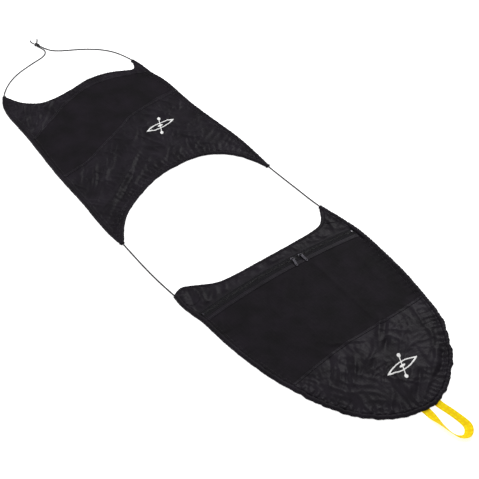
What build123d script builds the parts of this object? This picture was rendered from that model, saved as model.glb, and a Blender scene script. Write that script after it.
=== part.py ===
"""Two-piece splash deck for a tandem kayak, laid out flat on the floor.

Millimetres. +X runs towards the bow (nose) of the boat, +Y to port, +Z up, and the floor is z = 0.
The origin is on the floor under the middle of the fabric and its grab loop.
"""
import os
from math import asin, cos, degrees, pi, radians, tan

from build123d import *

# ---------------------------------------------------------------- driving dimensions
CLOTH = 2.4  # fabric panel with its seam allowances
CORD_R = 2.5  # 5 mm shock cord
TUNNEL_R = 2.8  # bore of a hem that holds a cord
CORD_HEM = (11.0, 9.0)  # width and height of a hem with a cord in it
PLAIN_HEM = (8.0, 5.0)  # width and height of a folded hem with nothing in it
CORD_Z = CORD_HEM[1] / 2  # middle of a cord that runs in a hem
CORD_GAP = 0.6  # room round a free cord
FLOOR_Z = CORD_R + 0.1  # middle of a cord that lies on the floor

ZIP_X, ZIP_Y = 224.0, -40.0  # rearmost point of the zip's arc
ZIP_R = 2300.0  # radius of that arc
TAPE_OUT = 14.0  # zip: half width over both tapes
SLOT = 8.0  # zip: half width of the slot between the panels
COIL_OUT, COIL_IN = 3.2, 0.9  # zip: outer and inner edge of one coil
COIL_Z = (1.9, 4.3)
TAPE_Z = (CLOTH, CLOTH + 0.8)
FACING_OUT = 26.0  # zip: front edge of the shiny facing strip
COIL_END = (292.0, -286.0)  # y of the coil's two ends

SLIDER_LENGTH = 13.0
SLIDER_Y = {"left": 97.0, "right": 67.0}
PULL_LENGTH, PULL_WIDTH, PULL_T = 33.0, 8.0, 1.4
PULL_SKEW = {"left": 8.0, "right": -9.0}  # how far each pull is turned on its bail, degrees
PULL_DROP = 8.6  # how far a resting pull slopes down, degrees
BAIL_R, BAIL_Z, BAIL_HALF = 0.95, 8.7, 4.5
KNUCKLE_R, KNUCKLE_BORE, KNUCKLE_LENGTH = 2.5, 1.65, 4.0

WEB_W, WEB_T = 25.0, 1.8  # grab loop webbing
LOOP_Y = -2.0  # middle of the grab loop's sewn ends
PRINT_T = 0.3
PATCH_T = 1.0
STOP_LENGTH, STOP_RISE = 4.0, 0.6  # the end stops stand a little higher than the coil
LOWER_PLATE, UPPER_PLATE = (0.45, 1.5), (4.7, 5.9)  # bottom and top of a slider's two plates
DECK_EDGE = 340.0  # y that is past both sides of the decks
ABOVE_ALL = 10.0  # a height above everything flat

# ---------------------------------------------------------------- outlines, through the middle of each hem
FRONT_LEFT = (100, 292)  # where the cord leaves the front deck, port
FRONT_RIGHT = (127, -311)
FRONT_RIM = [
    FRONT_LEFT, (145, 299), (200, 306), (262, 314), (330, 310), (416, 302), (490, 294),
    (558, 280), (620, 267), (678, 251), (728, 226), (770, 197), (808, 170), (839, 134),
    (867, 93), (889, 50), (899, 4), (893, -40), (880, -80), (862, -113), (841, -146),
    (812, -176), (775, -201), (730, -225), (676, -245), (618, -263), (556, -280),
    (488, -291), (416, -299), (340, -303), (262, -302), (205, -312), (165, -315), FRONT_RIGHT,
]
FRONT_WAIST = [
    FRONT_RIGHT, (107, -283), (124, -248), (147, -209), (159, -186), (167, -158), (171, -110),
    (172, -50), (173.2, 20), (174.6, 90), (174.8, 150), (174, 190), (171, 222), (162, 243),
    (143, 264), (116, 281), FRONT_LEFT,
]
REAR_FRONT_LEFT = (-159, 288)  # where the cord leaves the rear deck's front horn, port
REAR_FRONT_RIGHT = (-156, -305)
REAR_LEFT = (-938, 278)  # where the cord leaves the rear deck's back horn, port
REAR_RIGHT = (-1043, -210)
SIDE_LEFT = [
    REAR_FRONT_LEFT, (-198, 293), (-262, 297), (-346, 301), (-420, 297), (-490, 293),
    (-560, 290), (-626, 290), (-690, 294), (-750, 297), (-794, 292), (-834, 283),
    (-886, 285), REAR_LEFT,
]
SIDE_RIGHT = [
    REAR_FRONT_RIGHT, (-196, -309), (-252, -308), (-314, -303), (-390, -294), (-484, -290),
    (-584, -283), (-682, -271), (-784, -260), (-872, -254), (-942, -250), (-988, -239),
    (-1018, -225), REAR_RIGHT,
]
REAR_WAIST = [
    REAR_FRONT_RIGHT, (-190, -283), (-239, -248), (-280, -198), (-320, -120), (-348, -48),
    (-357, 5), (-359, 57), (-357, 106), (-347, 153), (-318, 206), (-278, 242),
    (-236, 264), (-192, 279), REAR_FRONT_LEFT,
]
REAR_EDGE = [
    REAR_LEFT, (-910, 269), (-892, 257), (-890, 240), (-911, 207), (-929, 172), (-941, 125),
    (-944, 73), (-932, 25), (-924, -25), (-920, -92), (-930, -132), (-958, -167),
    (-994, -192), REAR_RIGHT,
]

# ---------------------------------------------------------------- seams across the decks
NOSE_SEAM = [(588, 320), (591, 190), (588, 60), (587, -40), (596, -160), (618, -320)]
BAND_SEAM = [(-822, 320), (-868, 233), (-906, 110), (-900, 25), (-866, -75), (-826, -151), (-730, -320)]
MIDDLE_SEAM = [(-692, 330), (-676, 110), (-640, 20), (-594, -87), (-560, -170), (-530, -330)]

# ---------------------------------------------------------------- free cords, from exit to knot
SIDE_CORD_LEFT = [
    (98, 291.7, CORD_Z), (62, 290.5, 2.9), (-12, 290.6, FLOOR_Z), (-86, 289, 2.8), (-157, 287.7, CORD_Z),
]
SIDE_CORD_RIGHT = [
    (125, -310.8, CORD_Z), (88, -311.4, 2.8), (30, -312.6, FLOOR_Z), (-36, -311, FLOOR_Z),
    (-102, -307.4, 2.8), (-154, -304.8, CORD_Z),
]
KNOT = (-1240, 50)  # where the two rear cords meet
REAR_CORD_LEFT = [
    (-940, 277.8, CORD_Z), (-975, 272.5, 3.2), (-1020, 259, FLOOR_Z), (-1056, 238, 2.8),
    (-1086, 211, FLOOR_Z), (-1114, 177, 2.7), (-1138, 138, FLOOR_Z), (-1160, 101, 2.7),
    (-1181, 77, FLOOR_Z), (-1203, 66.5, 3.0), (-1222, 59, 4.2), (KNOT[0], KNOT[1] + 2.8, 6.5),
]
REAR_CORD_RIGHT = [
    (-1044.5, -208.9, CORD_Z), (-1066, -193, 3.2), (-1094, -164, FLOOR_Z), (-1118, -130, 2.7),
    (-1136, -92, FLOOR_Z), (-1148, -50, 2.7), (-1158, -10, FLOOR_Z), (-1164, 22, 2.7),
    (-1175, 46, FLOOR_Z), (-1196, 58, 3.0), (-1220, 52.4, 4.2), (KNOT[0], KNOT[1] - 2.8, 6.5),
]
BRIDGES, LOOP_CORDS = [SIDE_CORD_LEFT, SIDE_CORD_RIGHT], [REAR_CORD_LEFT, REAR_CORD_RIGHT]
TAIL_LEFT = [(*KNOT, 7.0), (-1254, 58, 6.0), (-1267, 67, 4.0), (-1280, 74, FLOOR_Z)]
TAIL_RIGHT = [(*KNOT, 7.0), (-1258, 45, 6.0), (-1273, 44, 4.0), (-1287, 48, FLOOR_Z)]
KNOT_R, KNOT_LENGTH = 8.0, 24.0

# ---------------------------------------------------------------- grab loop: middles and width directions
LOOP_STATIONS = [
    ((912.5, 20, 1.3), (0, 1, 0)),
    ((945, 25, 1.6), (0, 1, 0)),
    ((980, 28, 2.4), (0, 1, 0.02)),
    ((1006, 26, 4.4), (0.3, 1, 0.15)),
    ((1024, 14, 8.0), (0.9, 0.7, 0.35)),
    ((1034, -5, 11.0), (1, -0.1, 0.5)),
    ((1026, -22, 12.5), (0.7, -0.8, 0.8)),
    ((1003, -30, 12.0), (0.1, -0.7, 0.9)),
    ((965, -31, 9.5), (0, -0.8, 0.7)),
    ((935, -28, 4.5), (0, -1, 0.25)),
    ((912.5, -25, 1.3), (0, -1, 0)),
]


def fillet_radii(points):
    """The largest even bend at each inner point: 0.45 of the shorter run beside it."""
    places = [Vector(*p) for p in points]
    radii = []
    for before, here, after in zip(places, places[1:], places[2:]):
        first, second = here - before, after - here
        turn = radians(first.get_angle(second))
        radii.append(0.45 * min(first.length, second.length) / tan(turn / 2))
    return radii


def route(points):
    """Straight runs joined by tangent arcs through a list of points."""
    return FilletPolyline(*points, radius=fillet_radii(points))


def tube(points, radius, name):
    """A round cord along a route, with its bends and its volume reported."""
    path = route(points)
    solid = sweep(Plane(origin=path @ 0, z_dir=path % 0) * Circle(radius), path=path)
    expected = pi * radius**2 * path.length
    print(
        f"{name}: length {path.length:.0f}, tightest bend {min(fillet_radii(points)):.0f},"
        f" volume {solid.volume / expected:.4f} of section x length"
    )
    return solid


def cord_way(points):
    """The room that a free cord needs where it passes other pieces."""
    path = route(points)
    return sweep(Plane(origin=path @ 0, z_dir=path % 0) * Circle(CORD_R + CORD_GAP), path=path)


def flat(points):
    return [(x, y, 0) for x, y in points]


def hem(points, size, bore=0.0):
    """A rolled hem: flat underneath, upright sides and a rounded top, with a tunnel for a cord."""
    width, height = size
    shoulder = height - width / 2 if height > width / 2 + 1 else height / 2
    half = width / 2
    outline = Polyline((-half, 0), (half, 0), (half, shoulder))
    outline += ThreePointArc((half, shoulder), (0, height), (-half, shoulder))
    outline += Line((-half, shoulder), (-half, 0))
    section = make_face(outline)
    if bore:
        section -= Pos(0, height / 2) * Circle(bore)
    path = route(flat(points))
    across = Vector(0, 0, 1).cross(path % 0)
    return sweep(Plane(origin=path @ 0, x_dir=across, z_dir=path % 0) * section, path=path)


def inner_cord(points, name):
    return tube([(x, y, CORD_Z) for x, y in points], CORD_R, name)


def upright(face, low, high):
    """A flat face stretched from one height to another."""
    return Pos(0, 0, low) * extrude(face, amount=high - low, dir=(0, 0, 1))


def biggest(shape):
    """The main solid, without the slivers that a cut leaves at its corners."""
    return max(shape.solids(), key=lambda s: s.volume)


def between(left, right, low=0.0, high=CLOTH):
    """The ground between two lines that both cross the deck from port to starboard."""
    outline = left + Line(left @ 1, right @ 1) + right + Line(right @ 0, left @ 0)
    return upright(make_face(outline), low, high)


def across_at(x):
    return Line((x, DECK_EDGE), (x, -DECK_EDGE))


def zip_arc(offset):
    """An arc beside the zip's middle line, offset towards the bow."""
    stations = (DECK_EDGE, 0.0, -DECK_EDGE)
    return ThreePointArc(*[(ZIP_X + offset + (y - ZIP_Y) ** 2 / (2 * ZIP_R), y) for y in stations])


def zip_strip(near, far, low, high, port=DECK_EDGE, starboard=-DECK_EDGE):
    """A band that follows the zip, between two offsets and two ends."""
    band = between(zip_arc(near), zip_arc(far), low, high)
    middle, span = (port + starboard) / 2, port - starboard
    return band & (Pos(ZIP_X, middle, 0) * Box(200, span, 40))


def on_zip(y):
    """A local frame on the zip: X towards the bow, Y along the zip to port."""
    angle = asin((y - ZIP_Y) / ZIP_R)
    x = ZIP_X + ZIP_R * (1 - cos(angle))
    return Pos(x, y, 0) * Rot(0, 0, -degrees(angle))


# ---------------------------------------------------------------- front deck
def front_deck():
    rim_route, waist_route = route(flat(FRONT_RIM)), route(flat(FRONT_WAIST))
    rim, rim_filled = hem(FRONT_RIM, CORD_HEM, TUNNEL_R), hem(FRONT_RIM, CORD_HEM)
    ways = cord_way(SIDE_CORD_LEFT) + cord_way(SIDE_CORD_RIGHT)
    hems = rim_filled + hem(FRONT_WAIST, PLAIN_HEM) + ways
    waist = biggest(hem(FRONT_WAIST, PLAIN_HEM) - rim_filled - ways)
    ground = make_face(rim_route + waist_route)
    sheet = biggest(upright(ground, 0, CLOTH) - hems)
    inside = biggest(upright(ground, 0, ABOVE_ALL) - hems)
    nose_line = Spline(*NOSE_SEAM)
    return {
        "front_rim_hem": rim,
        "front_rim_cord": inner_cord(FRONT_RIM, "front_rim_cord"),
        "front_waist_hem": waist,
        "waist_band": biggest(sheet & between(across_at(0), zip_arc(-SLOT))),
        "zip_facing": biggest(sheet & between(zip_arc(SLOT), zip_arc(FACING_OUT))),
        "front_main_panel": biggest(sheet & between(zip_arc(FACING_OUT), nose_line)),
        "nose_panel": biggest(sheet & between(nose_line, across_at(1000))),
        "zip_tape_rear": biggest(zip_strip(-TAPE_OUT, -COIL_OUT, *TAPE_Z) & inside),
        "zip_tape_front": biggest(zip_strip(COIL_OUT, TAPE_OUT, *TAPE_Z) & inside),
        "zip_coil_rear": zip_strip(-COIL_OUT, -COIL_IN, *COIL_Z, *COIL_END),
        "zip_coil_front": zip_strip(COIL_IN, COIL_OUT, *COIL_Z, *COIL_END),
        "zip_stop_left": zip_stop(COIL_END[0], COIL_END[0] + STOP_LENGTH),
        "zip_stop_right": zip_stop(COIL_END[1] - STOP_LENGTH, COIL_END[1]),
        "corner_patch_left": corner_patch(inside, (150, 280), 34),
        "corner_patch_right": corner_patch(inside, (152, -282), 38),
        "front_print": Pos(750, 30, CLOTH) * boat_mark(),
        "grab_loop_root": loop_root(rim_filled),
    }


def zip_stop(low_y, high_y):
    """A crimped block that closes the end of the zip."""
    return zip_strip(-COIL_OUT, COIL_OUT, COIL_Z[0], COIL_Z[1] + STOP_RISE, high_y, low_y)


def corner_patch(inside, centre, radius):
    """A doubled piece of cloth sewn over a horn, where the cord pulls."""
    disc = upright(Pos(*centre) * Circle(radius), CLOTH, CLOTH + PATCH_T)
    return biggest(disc & inside)


def loop_root(rim_filled):
    """The sewn ends of the grab loop, flat against the outside of the nose hem."""
    middle, length, width = 902.5, 10.0, 2 * WEB_W + 24
    ends = Pos(middle, LOOP_Y, WEB_T / 2 + 0.2) * Box(length, width, WEB_T)
    inboard = Pos(850, LOOP_Y, 0) * Box(96, 2 * width, 30)
    return biggest(ends - rim_filled - inboard)


def boat_mark():
    """A plain kayak seen from above with a paddle across it, lengthwise along Y."""
    length, beam, rim, cockpit = 118.0, 30.0, 4.0, (9.0, 20.0)
    paddle, blade, tilt = 78.0, (8.0, 5.5), 62.0

    def lens(half_length, half_beam):
        left = ThreePointArc((0, half_length), (-half_beam, 0), (0, -half_length))
        right = ThreePointArc((0, -half_length), (half_beam, 0), (0, half_length))
        return make_face(left + right)

    hull = lens(length / 2, beam / 2) - lens(length / 2 - 3 * rim, beam / 2 - rim)
    shaft = Rectangle(3, paddle - 4)
    blades = [Pos(0, side * paddle / 2) * Ellipse(blade[1], blade[0]) for side in (1, -1)]
    stick = Rot(0, 0, tilt) * (shaft + blades)
    seat = Ellipse(*[size / 2 for size in cockpit])
    return upright(hull + stick + seat, 0, PRINT_T)


# ---------------------------------------------------------------- zip sliders and their pulls
def slider(side):
    """Two plates joined by a post between the coils, with side flanges and a bail on top."""
    half_width, gap, corner = 5.0, 0.4, 1.2
    plate = RectangleRounded(2 * half_width, SLIDER_LENGTH, corner)
    body = upright(plate, *LOWER_PLATE) + upright(plate, *UPPER_PLATE)
    post = Rectangle(2 * (COIL_IN - gap), 4)
    body += upright(post, LOWER_PLATE[1] - 0.3, UPPER_PLATE[0] + 0.5)
    inner = COIL_OUT + gap
    for way in (1, -1):
        middle = way * (inner + half_width) / 2
        low, high = TAPE_Z[1] + gap, UPPER_PLATE[0] + 0.3
        flange = Box(half_width - inner, SLIDER_LENGTH - 2 * corner, high - low)
        body += Pos(middle, 0, (low + high) / 2) * flange
    foot = UPPER_PLATE[1] - 0.3
    corners = [(-BAIL_HALF, foot), (-BAIL_HALF, BAIL_Z), (BAIL_HALF, BAIL_Z), (BAIL_HALF, foot)]
    arch = FilletPolyline(*[(0, y, z) for y, z in corners], radius=corner)
    wire = sweep(Plane(origin=arch @ 0, z_dir=arch % 0) * Circle(BAIL_R), path=arch)
    return on_zip(SLIDER_Y[side]) * (body + wire)


def pull(side):
    """A flat metal tab with a rolled eye at one end and a small hole at the other."""
    neck, neck_end, hole_r = 3.6, 7.0, 2.0
    outline = Polyline(
        (0, neck / 2), (neck_end - 3, neck / 2), (neck_end, PULL_WIDTH / 2),
        (PULL_LENGTH - PULL_WIDTH / 2, PULL_WIDTH / 2),
    )
    outline += ThreePointArc(
        (PULL_LENGTH - PULL_WIDTH / 2, PULL_WIDTH / 2), (PULL_LENGTH, 0),
        (PULL_LENGTH - PULL_WIDTH / 2, -PULL_WIDTH / 2),
    )
    outline += Polyline(
        (PULL_LENGTH - PULL_WIDTH / 2, -PULL_WIDTH / 2), (neck_end, -PULL_WIDTH / 2),
        (neck_end - 3, -neck / 2), (0, -neck / 2), (0, neck / 2),
    )
    tab = make_face(outline) - Pos(PULL_LENGTH - 5, 0) * Circle(hole_r)
    tab = Pos(0, 0, -PULL_T / 2) * extrude(tab, amount=PULL_T, dir=(0, 0, 1))
    eye = Rot(90, 0, 0) * Cylinder(KNUCKLE_R, KNUCKLE_LENGTH)
    bore = Rot(90, 0, 0) * Cylinder(KNUCKLE_BORE, KNUCKLE_LENGTH + 4)
    body = tab + eye - bore
    turned = Rot(0, PULL_DROP, 0) * Rot(0, 0, PULL_SKEW[side]) * body
    return on_zip(SLIDER_Y[side]) * (Pos(0, 0, BAIL_Z) * turned)


# ---------------------------------------------------------------- grab loop
def grab_loop():
    """Webbing laid in a loop, with a turn at its far end: flat facets between its stations."""
    centres = [Vector(*place) for place, _ in LOOP_STATIONS]
    sections = []
    for i, (_, width) in enumerate(LOOP_STATIONS):
        along = (centres[min(i + 1, len(centres) - 1)] - centres[max(i - 1, 0)]).normalized()
        wide = Vector(*width)
        wide = (wide - along * wide.dot(along)).normalized()
        plane = Plane(origin=centres[i], x_dir=wide, z_dir=along)
        sections.append(plane * Rectangle(WEB_W, WEB_T))
    return loft(sections, ruled=True)


# ---------------------------------------------------------------- rear deck
def rear_deck():
    left, right = hem(SIDE_LEFT, CORD_HEM, TUNNEL_R), hem(SIDE_RIGHT, CORD_HEM, TUNNEL_R)
    sides = hem(SIDE_LEFT, CORD_HEM) + hem(SIDE_RIGHT, CORD_HEM)
    ways = Part() + [cord_way(points) for points in BRIDGES + LOOP_CORDS]
    waist = biggest(hem(REAR_WAIST, CORD_HEM, TUNNEL_R) - sides - ways)
    edge = biggest(hem(REAR_EDGE, PLAIN_HEM) - sides - ways)
    ring = (
        route(flat(SIDE_LEFT)) + route(flat(REAR_EDGE))
        + route(flat(SIDE_RIGHT)) + route(flat(REAR_WAIST))
    )
    hems = sides + hem(REAR_WAIST, CORD_HEM) + hem(REAR_EDGE, PLAIN_HEM) + ways
    sheet = biggest(upright(make_face(ring), 0, CLOTH) - hems)
    inside = biggest(upright(make_face(ring), 0, ABOVE_ALL) - hems)
    band_line, middle_line = Spline(*BAND_SEAM), Spline(*MIDDLE_SEAM)
    elastic = inner_cord(REAR_WAIST[1:-1], "rear_waist_elastic")
    return {
        "side_hem_left": left,
        "side_hem_right": right,
        "side_hem_cord_left": inner_cord(SIDE_LEFT, "side_hem_cord_left"),
        "side_hem_cord_right": inner_cord(SIDE_RIGHT, "side_hem_cord_right"),
        "rear_waist_hem": waist,
        "rear_waist_elastic": biggest(elastic - sides),
        "rear_edge_hem": edge,
        "rear_band": biggest(sheet & between(across_at(-1100), band_line)),
        "rear_main_panel": biggest(sheet & between(band_line, middle_line)),
        "rear_front_panel": biggest(sheet & between(middle_line, across_at(-100))),
        "rear_patch_front_left": corner_patch(inside, (-212, 284), 34),
        "rear_patch_front_right": corner_patch(inside, (-212, -291), 34),
        "rear_patch_back_left": corner_patch(inside, (-884, 272), 30),
        "rear_patch_back_right": corner_patch(inside, (-985, -220), 34),
        "rear_print": Pos(-562, 133, CLOTH) * boat_mark(),
    }


# ---------------------------------------------------------------- free cords and knot
def knot():
    barrel = Cylinder(KNOT_R, KNOT_LENGTH)
    barrel = fillet(barrel.edges(), KNOT_R - 0.5)
    return Pos(*KNOT, KNOT_R) * Rot(0, 0, 15) * Rot(0, 90, 0) * barrel


def free_cords():
    ball = knot()
    parts = {
        "side_cord_left": tube(SIDE_CORD_LEFT, CORD_R, "side_cord_left"),
        "side_cord_right": tube(SIDE_CORD_RIGHT, CORD_R, "side_cord_right"),
        "rear_knot": ball,
    }
    strands = {
        "rear_cord_left": REAR_CORD_LEFT, "rear_cord_right": REAR_CORD_RIGHT,
        "knot_tail_left": TAIL_LEFT, "knot_tail_right": TAIL_RIGHT,
    }
    for name, points in strands.items():
        parts[name] = biggest(tube(points, CORD_R, name) - ball)
    return parts


def whole_object():
    parts = {**front_deck(), **rear_deck(), **free_cords(), "grab_loop": grab_loop()}
    for side in ("left", "right"):
        parts[f"slider_{side}"] = slider(side)
        parts[f"pull_{side}"] = pull(side)
    return parts


if __name__ == "__main__":
    os.makedirs("parts", exist_ok=True)
    for node, shape in whole_object().items():
        export_step(shape, f"parts/{node}.step")
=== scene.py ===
# %% [markdown]
# # A two-piece splash deck for a tandem kayak
# The real thing is two pieces of thin nylon with elastic cord sewn into their hems, laid out flat on a
# floor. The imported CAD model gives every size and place: the flat panels, the hems, the zip and the
# cords' routes. This lesson dresses that frame: crumpled cloth, gathered hems, stitches, a real zip,
# webbing and braided cord.

from math import cos, pi, radians, sin

import bpy
import numpy as np
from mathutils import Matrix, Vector
from mathutils.geometry import delaunay_2d_cdt


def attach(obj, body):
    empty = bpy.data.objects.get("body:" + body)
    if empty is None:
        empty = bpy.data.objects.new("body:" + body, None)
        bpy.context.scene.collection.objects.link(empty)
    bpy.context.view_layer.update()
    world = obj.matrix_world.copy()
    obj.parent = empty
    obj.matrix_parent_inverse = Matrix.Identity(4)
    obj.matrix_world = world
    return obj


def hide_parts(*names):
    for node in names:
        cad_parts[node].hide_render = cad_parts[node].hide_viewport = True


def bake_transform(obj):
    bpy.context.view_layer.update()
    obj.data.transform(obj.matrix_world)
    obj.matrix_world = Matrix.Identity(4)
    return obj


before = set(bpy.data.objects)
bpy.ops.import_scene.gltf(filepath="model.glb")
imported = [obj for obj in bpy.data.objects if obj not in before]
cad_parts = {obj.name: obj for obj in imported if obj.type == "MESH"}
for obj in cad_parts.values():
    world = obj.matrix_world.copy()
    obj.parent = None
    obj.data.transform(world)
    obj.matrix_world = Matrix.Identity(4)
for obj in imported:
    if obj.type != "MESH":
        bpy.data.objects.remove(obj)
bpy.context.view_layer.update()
MM = 0.001

# %% [markdown]
# ## Camera, floor and light
# A long lens from high on the starboard bow keeps the deck's sides nearly parallel. Cloth this dark
# shows its folds only by what it reflects, so two soft lamps stand on opposite sides and a weaker,
# larger one fills from above. The world is white, and the floor's paint glows a little by itself, so
# that the floor stays white round the deck and far behind it.

# %% Camera, floor and light
scene = bpy.context.scene


def add_camera(place, heading, pitch, lens):
    data = bpy.data.cameras.new("camera")
    data.lens, data.sensor_width = lens, 36
    camera = bpy.data.objects.new("camera", data)
    scene.collection.objects.link(camera)
    look = Vector((cos(heading) * cos(pitch), sin(heading) * cos(pitch), -sin(pitch)))
    camera.location = place
    camera.rotation_mode = "QUATERNION"
    camera.rotation_quaternion = look.to_track_quat("-Z", "Y")
    scene.camera = camera


def add_lamp(name, place, aim, size, power):
    data = bpy.data.lights.new(name, "AREA")
    data.shape, data.size, data.energy = "SQUARE", size, power
    lamp = bpy.data.objects.new(name, data)
    scene.collection.objects.link(lamp)
    lamp.location = place
    lamp.rotation_mode = "QUATERNION"
    lamp.rotation_quaternion = (Vector(aim) - Vector(place)).to_track_quat("-Z", "Y")


FLOOR_SIZE = 160.0  # metres, so that a low view shows no edge
add_camera((2.175, -1.695, 2.629), radians(141.45), radians(44.1), 90.2)
add_lamp("key", (-1.2, 2.6, 2.2), (0, 0, 0), 1.6, 62)
add_lamp("side", (-2.6, -1.6, 1.6), (-0.3, 0, 0), 1.4, 44)
add_lamp("top", (0.5, -0.5, 3.6), (0.2, 0, 0), 3.0, 34)
bpy.ops.mesh.primitive_plane_add(size=FLOOR_SIZE)
floor = bpy.context.object
floor.name = "floor"
world = scene.world or bpy.data.worlds.new("world")
scene.world = world
world.use_nodes = True
world.node_tree.nodes["Background"].inputs[0].default_value = (1, 1, 1, 1)
world.node_tree.nodes["Background"].inputs[1].default_value = 0.42
scene.view_settings.view_transform = "Standard"
print("camera at", [round(x, 3) for x in scene.camera.location])

# %% [markdown]
# ## Free cords
# One 5 mm shock cord runs round the whole deck. It shows in four places: it bridges the waist opening
# on each side, and a strand leaves each back horn to meet in a knot. Each is a NURBS spline drawn by
# its route points, at the floor except where it rises into a hem or the knot. Every strand is a mesh
# tube along its spline. The real bridges stretch when the decks are pulled apart. Each bridge is made in
# two pieces: a short root where it leaves the front deck's waist hem, and the rest.

# %% Cord splines
CORD_R = 2.5 * MM


def spline(name, points):
    """A NURBS spline with the route's points, in millimetres, as its control points."""
    data = bpy.data.curves.new(name, "CURVE")
    data.dimensions, data.resolution_u = "3D", 10
    line = data.splines.new("NURBS")
    line.points.add(len(points) - 1)
    for point, place in zip(line.points, points):
        point.co = (*[c * MM for c in place], 1)
    line.order_u, line.use_endpoint_u = 3, True
    made = bpy.data.objects.new(name, data)
    scene.collection.objects.link(made)
    return made


def follow(points):
    """Places along the smooth line of a route, in metres."""
    guide = spline("guide", points)
    mesh = bpy.data.meshes.new_from_object(guide)
    places = np.array([v.co for v in mesh.vertices])
    bpy.data.objects.remove(guide)
    bpy.data.meshes.remove(mesh)
    return places


def length_of(places):
    return float(np.linalg.norm(np.diff(places, axis=0), axis=1).sum())


def resample(places, step):
    """The same line with evenly spaced places."""
    runs = np.linalg.norm(np.diff(places, axis=0), axis=1)
    travel = np.concatenate([[0], np.cumsum(runs)])
    stops = np.linspace(0, travel[-1], max(2, int(round(travel[-1] / step)) + 1))
    return np.stack([np.interp(stops, travel, places[:, i]) for i in range(3)], 1)


def mesh_object(name, verts, faces):
    mesh = bpy.data.meshes.new(name)
    mesh.from_pydata([tuple(v) for v in verts], [], [tuple(f) for f in faces])
    mesh.validate()
    mesh.update()
    mesh.shade_smooth()
    made = bpy.data.objects.new(name, mesh)
    scene.collection.objects.link(made)
    return made


def unit(rows):
    """Each row's vector at length 1."""
    return rows / np.linalg.norm(rows, axis=1)[:, None]


def side_and_up(ahead):
    """Level sideways vectors, and upward ones square to them, for unit vectors along a line."""
    side = unit(np.cross([0, 0, 1.0], ahead))
    return side, np.cross(ahead, side)


def round_rings(places, ahead, radius, around):
    """A ring of points round each place of a line."""
    side, up = side_and_up(ahead)
    turn = np.linspace(0, 2 * pi, around, endpoint=False)
    ring = side[:, None] * np.cos(turn)[None, :, None] + up[:, None] * np.sin(turn)[None, :, None]
    return places[:, None] + ring * radius


def ring_mesh(name, rings):
    """Closed rings of points joined into a tube with capped ends."""
    count, around = rings.shape[:2]
    faces = []
    for i in range(count - 1):
        for j in range(around):
            k = (j + 1) % around
            a, b = i * around, (i + 1) * around
            faces.append((a + j, a + k, b + k, b + j))
    faces.append(tuple(range(around - 1, -1, -1)))
    faces.append(tuple((count - 1) * around + j for j in range(around)))
    return mesh_object(name, rings.reshape(-1, 3), faces)


def tube_mesh(name, places, radius, around=12):
    return ring_mesh(name, round_rings(places, unit(np.gradient(places, axis=0)), radius, around))


CORD_Z, FLOOR_Z = 4.5, 2.6  # middle of a cord in a hem, and of one on the floor
SIDE_CORD_LEFT = [
    (98, 291.7, CORD_Z), (62, 290.5, 2.9), (-12, 290.6, FLOOR_Z), (-86, 289, 2.8), (-157, 287.7, CORD_Z),
]
SIDE_CORD_RIGHT = [
    (125, -310.8, CORD_Z), (88, -311.4, 2.8), (30, -312.6, FLOOR_Z), (-36, -311, FLOOR_Z),
    (-102, -307.4, 2.8), (-154, -304.8, CORD_Z),
]
KNOT = (-1240, 50)
REAR_CORD_LEFT = [
    (-940, 277.8, CORD_Z), (-975, 272.5, 3.2), (-1020, 259, FLOOR_Z), (-1056, 238, 2.8),
    (-1086, 211, FLOOR_Z), (-1114, 177, 2.7), (-1138, 138, FLOOR_Z), (-1160, 101, 2.7),
    (-1181, 77, FLOOR_Z), (-1203, 66.5, 3.0), (-1222, 59, 4.2), (KNOT[0], KNOT[1] + 2.8, 6.5),
]
REAR_CORD_RIGHT = [
    (-1044.5, -208.9, CORD_Z), (-1066, -193, 3.2), (-1094, -164, FLOOR_Z), (-1118, -130, 2.7),
    (-1136, -92, FLOOR_Z), (-1148, -50, 2.7), (-1158, -10, FLOOR_Z), (-1164, 22, 2.7),
    (-1175, 46, FLOOR_Z), (-1196, 58, 3.0), (-1220, 52.4, 4.2), (KNOT[0], KNOT[1] - 2.8, 6.5),
]
TAIL_LEFT = [(*KNOT, 7.0), (-1254, 58, 6.0), (-1267, 67, 4.0), (-1280, 74, FLOOR_Z)]
TAIL_RIGHT = [(*KNOT, 7.0), (-1258, 45, 6.0), (-1273, 44, 4.0), (-1287, 48, FLOOR_Z)]

BEND = 9  # steps of 4 mm in each bridge's short root, 36 mm
cords = {}
for name, points in (("side_cord_left", SIDE_CORD_LEFT), ("side_cord_right", SIDE_CORD_RIGHT)):
    places = resample(follow(points), 4 * MM)
    root = tube_mesh(name + "_root", places[: BEND + 1], CORD_R)
    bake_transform(root)
    cord = tube_mesh(name + "_cloth", places[BEND:], CORD_R)
    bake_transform(cord)
    for piece in (root, cord):
        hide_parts(name)
    cords[name], cords[name + "_root"] = cord, root

# %% [markdown]
# The knot is an overhand knot tied in both strands at once. A trefoil curve is that knot's own shape,
# so a thick tube along a flattened trefoil, set on the line of the strands, gives its crossing turns.

# %% Knot, tails and rear strands
knot_turns = np.linspace(0, 2 * pi, 140, endpoint=False)
KNOT_R, KNOT_WIDE, KNOT_TALL = 2.6, 3.3, 1.5


def trefoil(turns):
    """A lying trefoil, long along X, in millimetres."""
    x = (np.sin(turns) + 2 * np.sin(2 * turns)) * KNOT_WIDE * 1.1
    y = (np.cos(turns) - 2 * np.cos(2 * turns)) * KNOT_WIDE * 0.8
    z = -np.sin(3 * turns) * KNOT_TALL * 1.6
    return np.stack([x, y, z], 1)


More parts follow.
